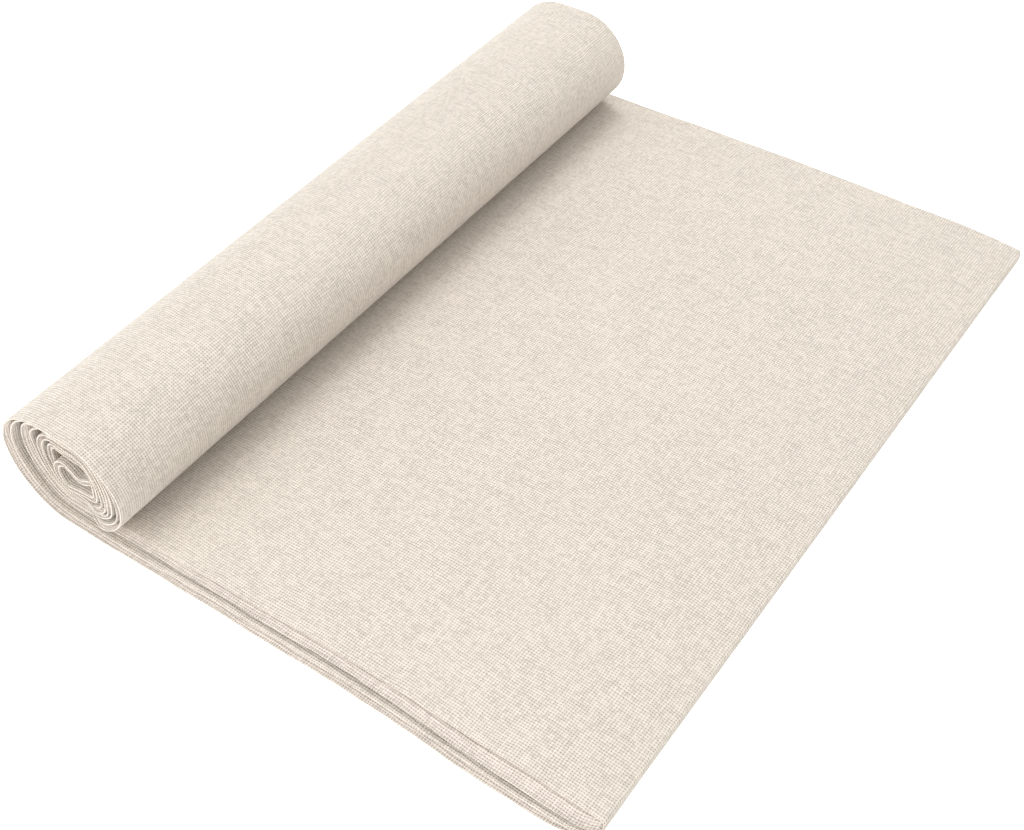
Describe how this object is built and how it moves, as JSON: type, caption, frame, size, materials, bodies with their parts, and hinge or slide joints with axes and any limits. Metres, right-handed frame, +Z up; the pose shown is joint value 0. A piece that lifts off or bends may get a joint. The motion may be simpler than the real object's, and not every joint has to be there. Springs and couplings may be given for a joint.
{
  "type": "table runner",
  "caption": "Plain woven cloth table runner with narrow hems, folded in layers and partly rolled up from one end, lying flat at the other.",
  "frame": {"origin": "middle of the underside, under the centre of the bounding box", "axes": "+Z up; +X along the runner from the roll towards the end that lies flat; +Y across the runner, along the roll, away from the side whose lower layers stick out"},
  "size_m": [0.2403, 0.3102, 0.047],
  "materials": {
    "cloth": "matt plain weave",
    "hem_cloth": "matt plain weave, turned edge",
    "thread": "matt spun thread"
  },
  "bodies": {
    "root": {"top_layer_laid": "cloth", "second_layer_laid": "cloth", "third_layer_laid": "cloth", "bottom_layer_laid": "cloth", "top_layer_rolled": "cloth", "second_layer_rolled": "cloth", "third_layer_rolled": "cloth", "bottom_layer_rolled": "cloth", "outer_end_fold": "cloth", "inner_end_fold": "cloth", "core_fold": "cloth", "near_side_hem": "hem_cloth", "far_side_hem": "hem_cloth", "near_side_seam": "thread", "far_side_seam": "thread", "third_layer_end_hem": "hem_cloth", "bottom_layer_end_hem": "hem_cloth", "third_layer_end_seam": "thread", "bottom_layer_end_seam": "thread"}
  },
  "joints": []
}
